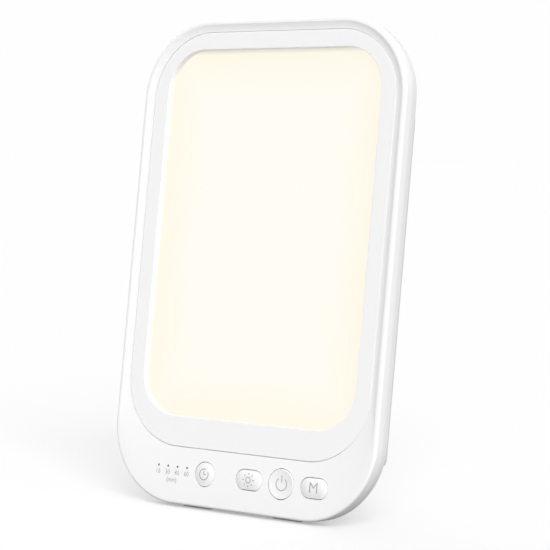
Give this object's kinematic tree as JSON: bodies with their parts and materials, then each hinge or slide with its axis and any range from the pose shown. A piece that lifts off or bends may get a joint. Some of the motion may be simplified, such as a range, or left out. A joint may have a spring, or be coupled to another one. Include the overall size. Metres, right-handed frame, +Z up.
{
  "type": "light therapy lamp",
  "caption": "Slim upright light therapy panel with a rounded white case, lit diffuser window, button row and fold-out rear leg",
  "frame": {"origin": "centre of the bounding box's bottom, on the surface the lamp stands on", "axes": "+Z up, lit face towards -Y, X across the lamp"},
  "size_m": [0.15, 0.063, 0.2286],
  "materials": {
    "white_case": "fine satin",
    "white_bezel": "fine satin",
    "white_cover": "plain",
    "lit_diffuser": "frosted, evenly lit",
    "clear_guide": "plain",
    "white_film": "plain",
    "sheet_metal": "plain",
    "led_board": "plain",
    "circuit_board": "plain",
    "switch_black": "plain",
    "dot_lens": "plain",
    "screw_steel": "plain",
    "foot_rubber": "plain",
    "ribbon_grey": "plain",
    "button_grey": "smooth satin"
  },
  "bodies": {
    "lamp": {"front_housing": "white_case", "bezel_frame": "white_bezel", "diffuser_panel": "lit_diffuser", "light_guide": "clear_guide", "reflector_sheet": "white_film", "chassis_plate": "sheet_metal", "led_strip_right": "led_board", "led_strip_left": "led_board", "control_board": "circuit_board", "tact_switches": "switch_black", "indicator_light_rods": "dot_lens", "chassis_screws": "screw_steel", "board_screws": "screw_steel", "case_screws": "screw_steel", "back_cover": "white_cover", "foot_pads": "foot_rubber", "hinge_pin": "screw_steel", "friction_washers": "switch_black", "driver_board": "circuit_board", "driver_spacers": "switch_black", "driver_components": "switch_black", "power_inlet": "switch_black", "control_ribbon": "ribbon_grey", "led_leads": "ribbon_grey"},
    "leg": {"kickstand_leg": "white_cover", "leg_boot": "foot_rubber"},
    "timer": {"timer_button": "button_grey", "timer_switch_plunger": "switch_black"},
    "brightness": {"brightness_button": "button_grey", "brightness_switch_plunger": "switch_black"},
    "power": {"power_button": "button_grey", "power_switch_plunger": "switch_black"},
    "mode": {"mode_button": "button_grey", "mode_switch_plunger": "switch_black"}
  },
  "joints": [
    {"name": "leg_fold", "type": "hinge", "parent": "lamp", "child": "leg", "pos_m": [0, 0.00617, 0.14775], "axis": [-1, 0, 0], "range_deg": [0, 16.8]},
    {"name": "timer_press", "type": "slide", "parent": "lamp", "child": "timer", "axis": [0, 0.9894, -0.1454], "range_m": [0, 0.0005], "stiffness_N_per_m": 300, "springref_m": -0.001},
    {"name": "brightness_press", "type": "slide", "parent": "lamp", "child": "brightness", "axis": [0, 0.9894, -0.1454], "range_m": [0, 0.0005], "stiffness_N_per_m": 300, "springref_m": -0.001},
    {"name": "power_press", "type": "slide", "parent": "lamp", "child": "power", "axis": [0, 0.9894, -0.1454], "range_m": [0, 0.0005], "stiffness_N_per_m": 300, "springref_m": -0.001},
    {"name": "mode_press", "type": "slide", "parent": "lamp", "child": "mode", "axis": [0, 0.9894, -0.1454], "range_m": [0, 0.0005], "stiffness_N_per_m": 300, "springref_m": -0.001}
  ]
}
